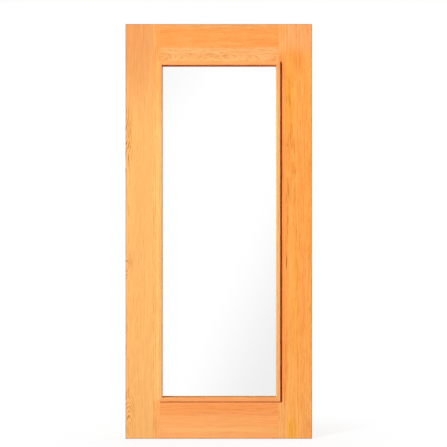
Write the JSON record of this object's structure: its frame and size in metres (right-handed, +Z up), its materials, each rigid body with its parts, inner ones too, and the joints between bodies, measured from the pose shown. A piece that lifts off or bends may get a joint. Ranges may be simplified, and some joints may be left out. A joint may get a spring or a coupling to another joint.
{
  "type": "glazed wooden door leaf",
  "caption": "Full-height hinged door leaf of varnished softwood: stiles and rails round one tall clear glass pane, held by raised mitred beads on both faces.",
  "frame": {"origin": "on the hinge edge of the leaf, at its foot and halfway through its thickness", "axes": "+X from the hinge edge to the lock edge, -Y out of the front face, +Z up"},
  "size_m": [0.9, 0.051, 2],
  "materials": {
    "frame_wood": "clear satin varnish",
    "bead_wood": "clear satin varnish",
    "clear_glass": "polished float glass",
    "glazing_tape": "matt closed-cell foam",
    "setting_rubber": "matt"
  },
  "bodies": {
    "root": {"left_stile_board": "frame_wood", "left_stile_strip": "frame_wood", "right_stile_board": "frame_wood", "right_stile_strip": "frame_wood", "top_rail_upper_board": "frame_wood", "top_rail_lower_board": "frame_wood", "bottom_rail_upper_board": "frame_wood", "bottom_rail_lower_board": "frame_wood", "front_left_bead": "bead_wood", "front_right_bead": "bead_wood", "front_top_bead": "bead_wood", "front_bottom_bead": "bead_wood", "back_left_bead": "bead_wood", "back_right_bead": "bead_wood", "back_top_bead": "bead_wood", "back_bottom_bead": "bead_wood", "glass_pane": "clear_glass", "front_left_tape": "glazing_tape", "front_right_tape": "glazing_tape", "front_top_tape": "glazing_tape", "front_bottom_tape": "glazing_tape", "back_left_tape": "glazing_tape", "back_right_tape": "glazing_tape", "back_top_tape": "glazing_tape", "back_bottom_tape": "glazing_tape", "left_setting_block": "setting_rubber", "right_setting_block": "setting_rubber"}
  },
  "joints": []
}
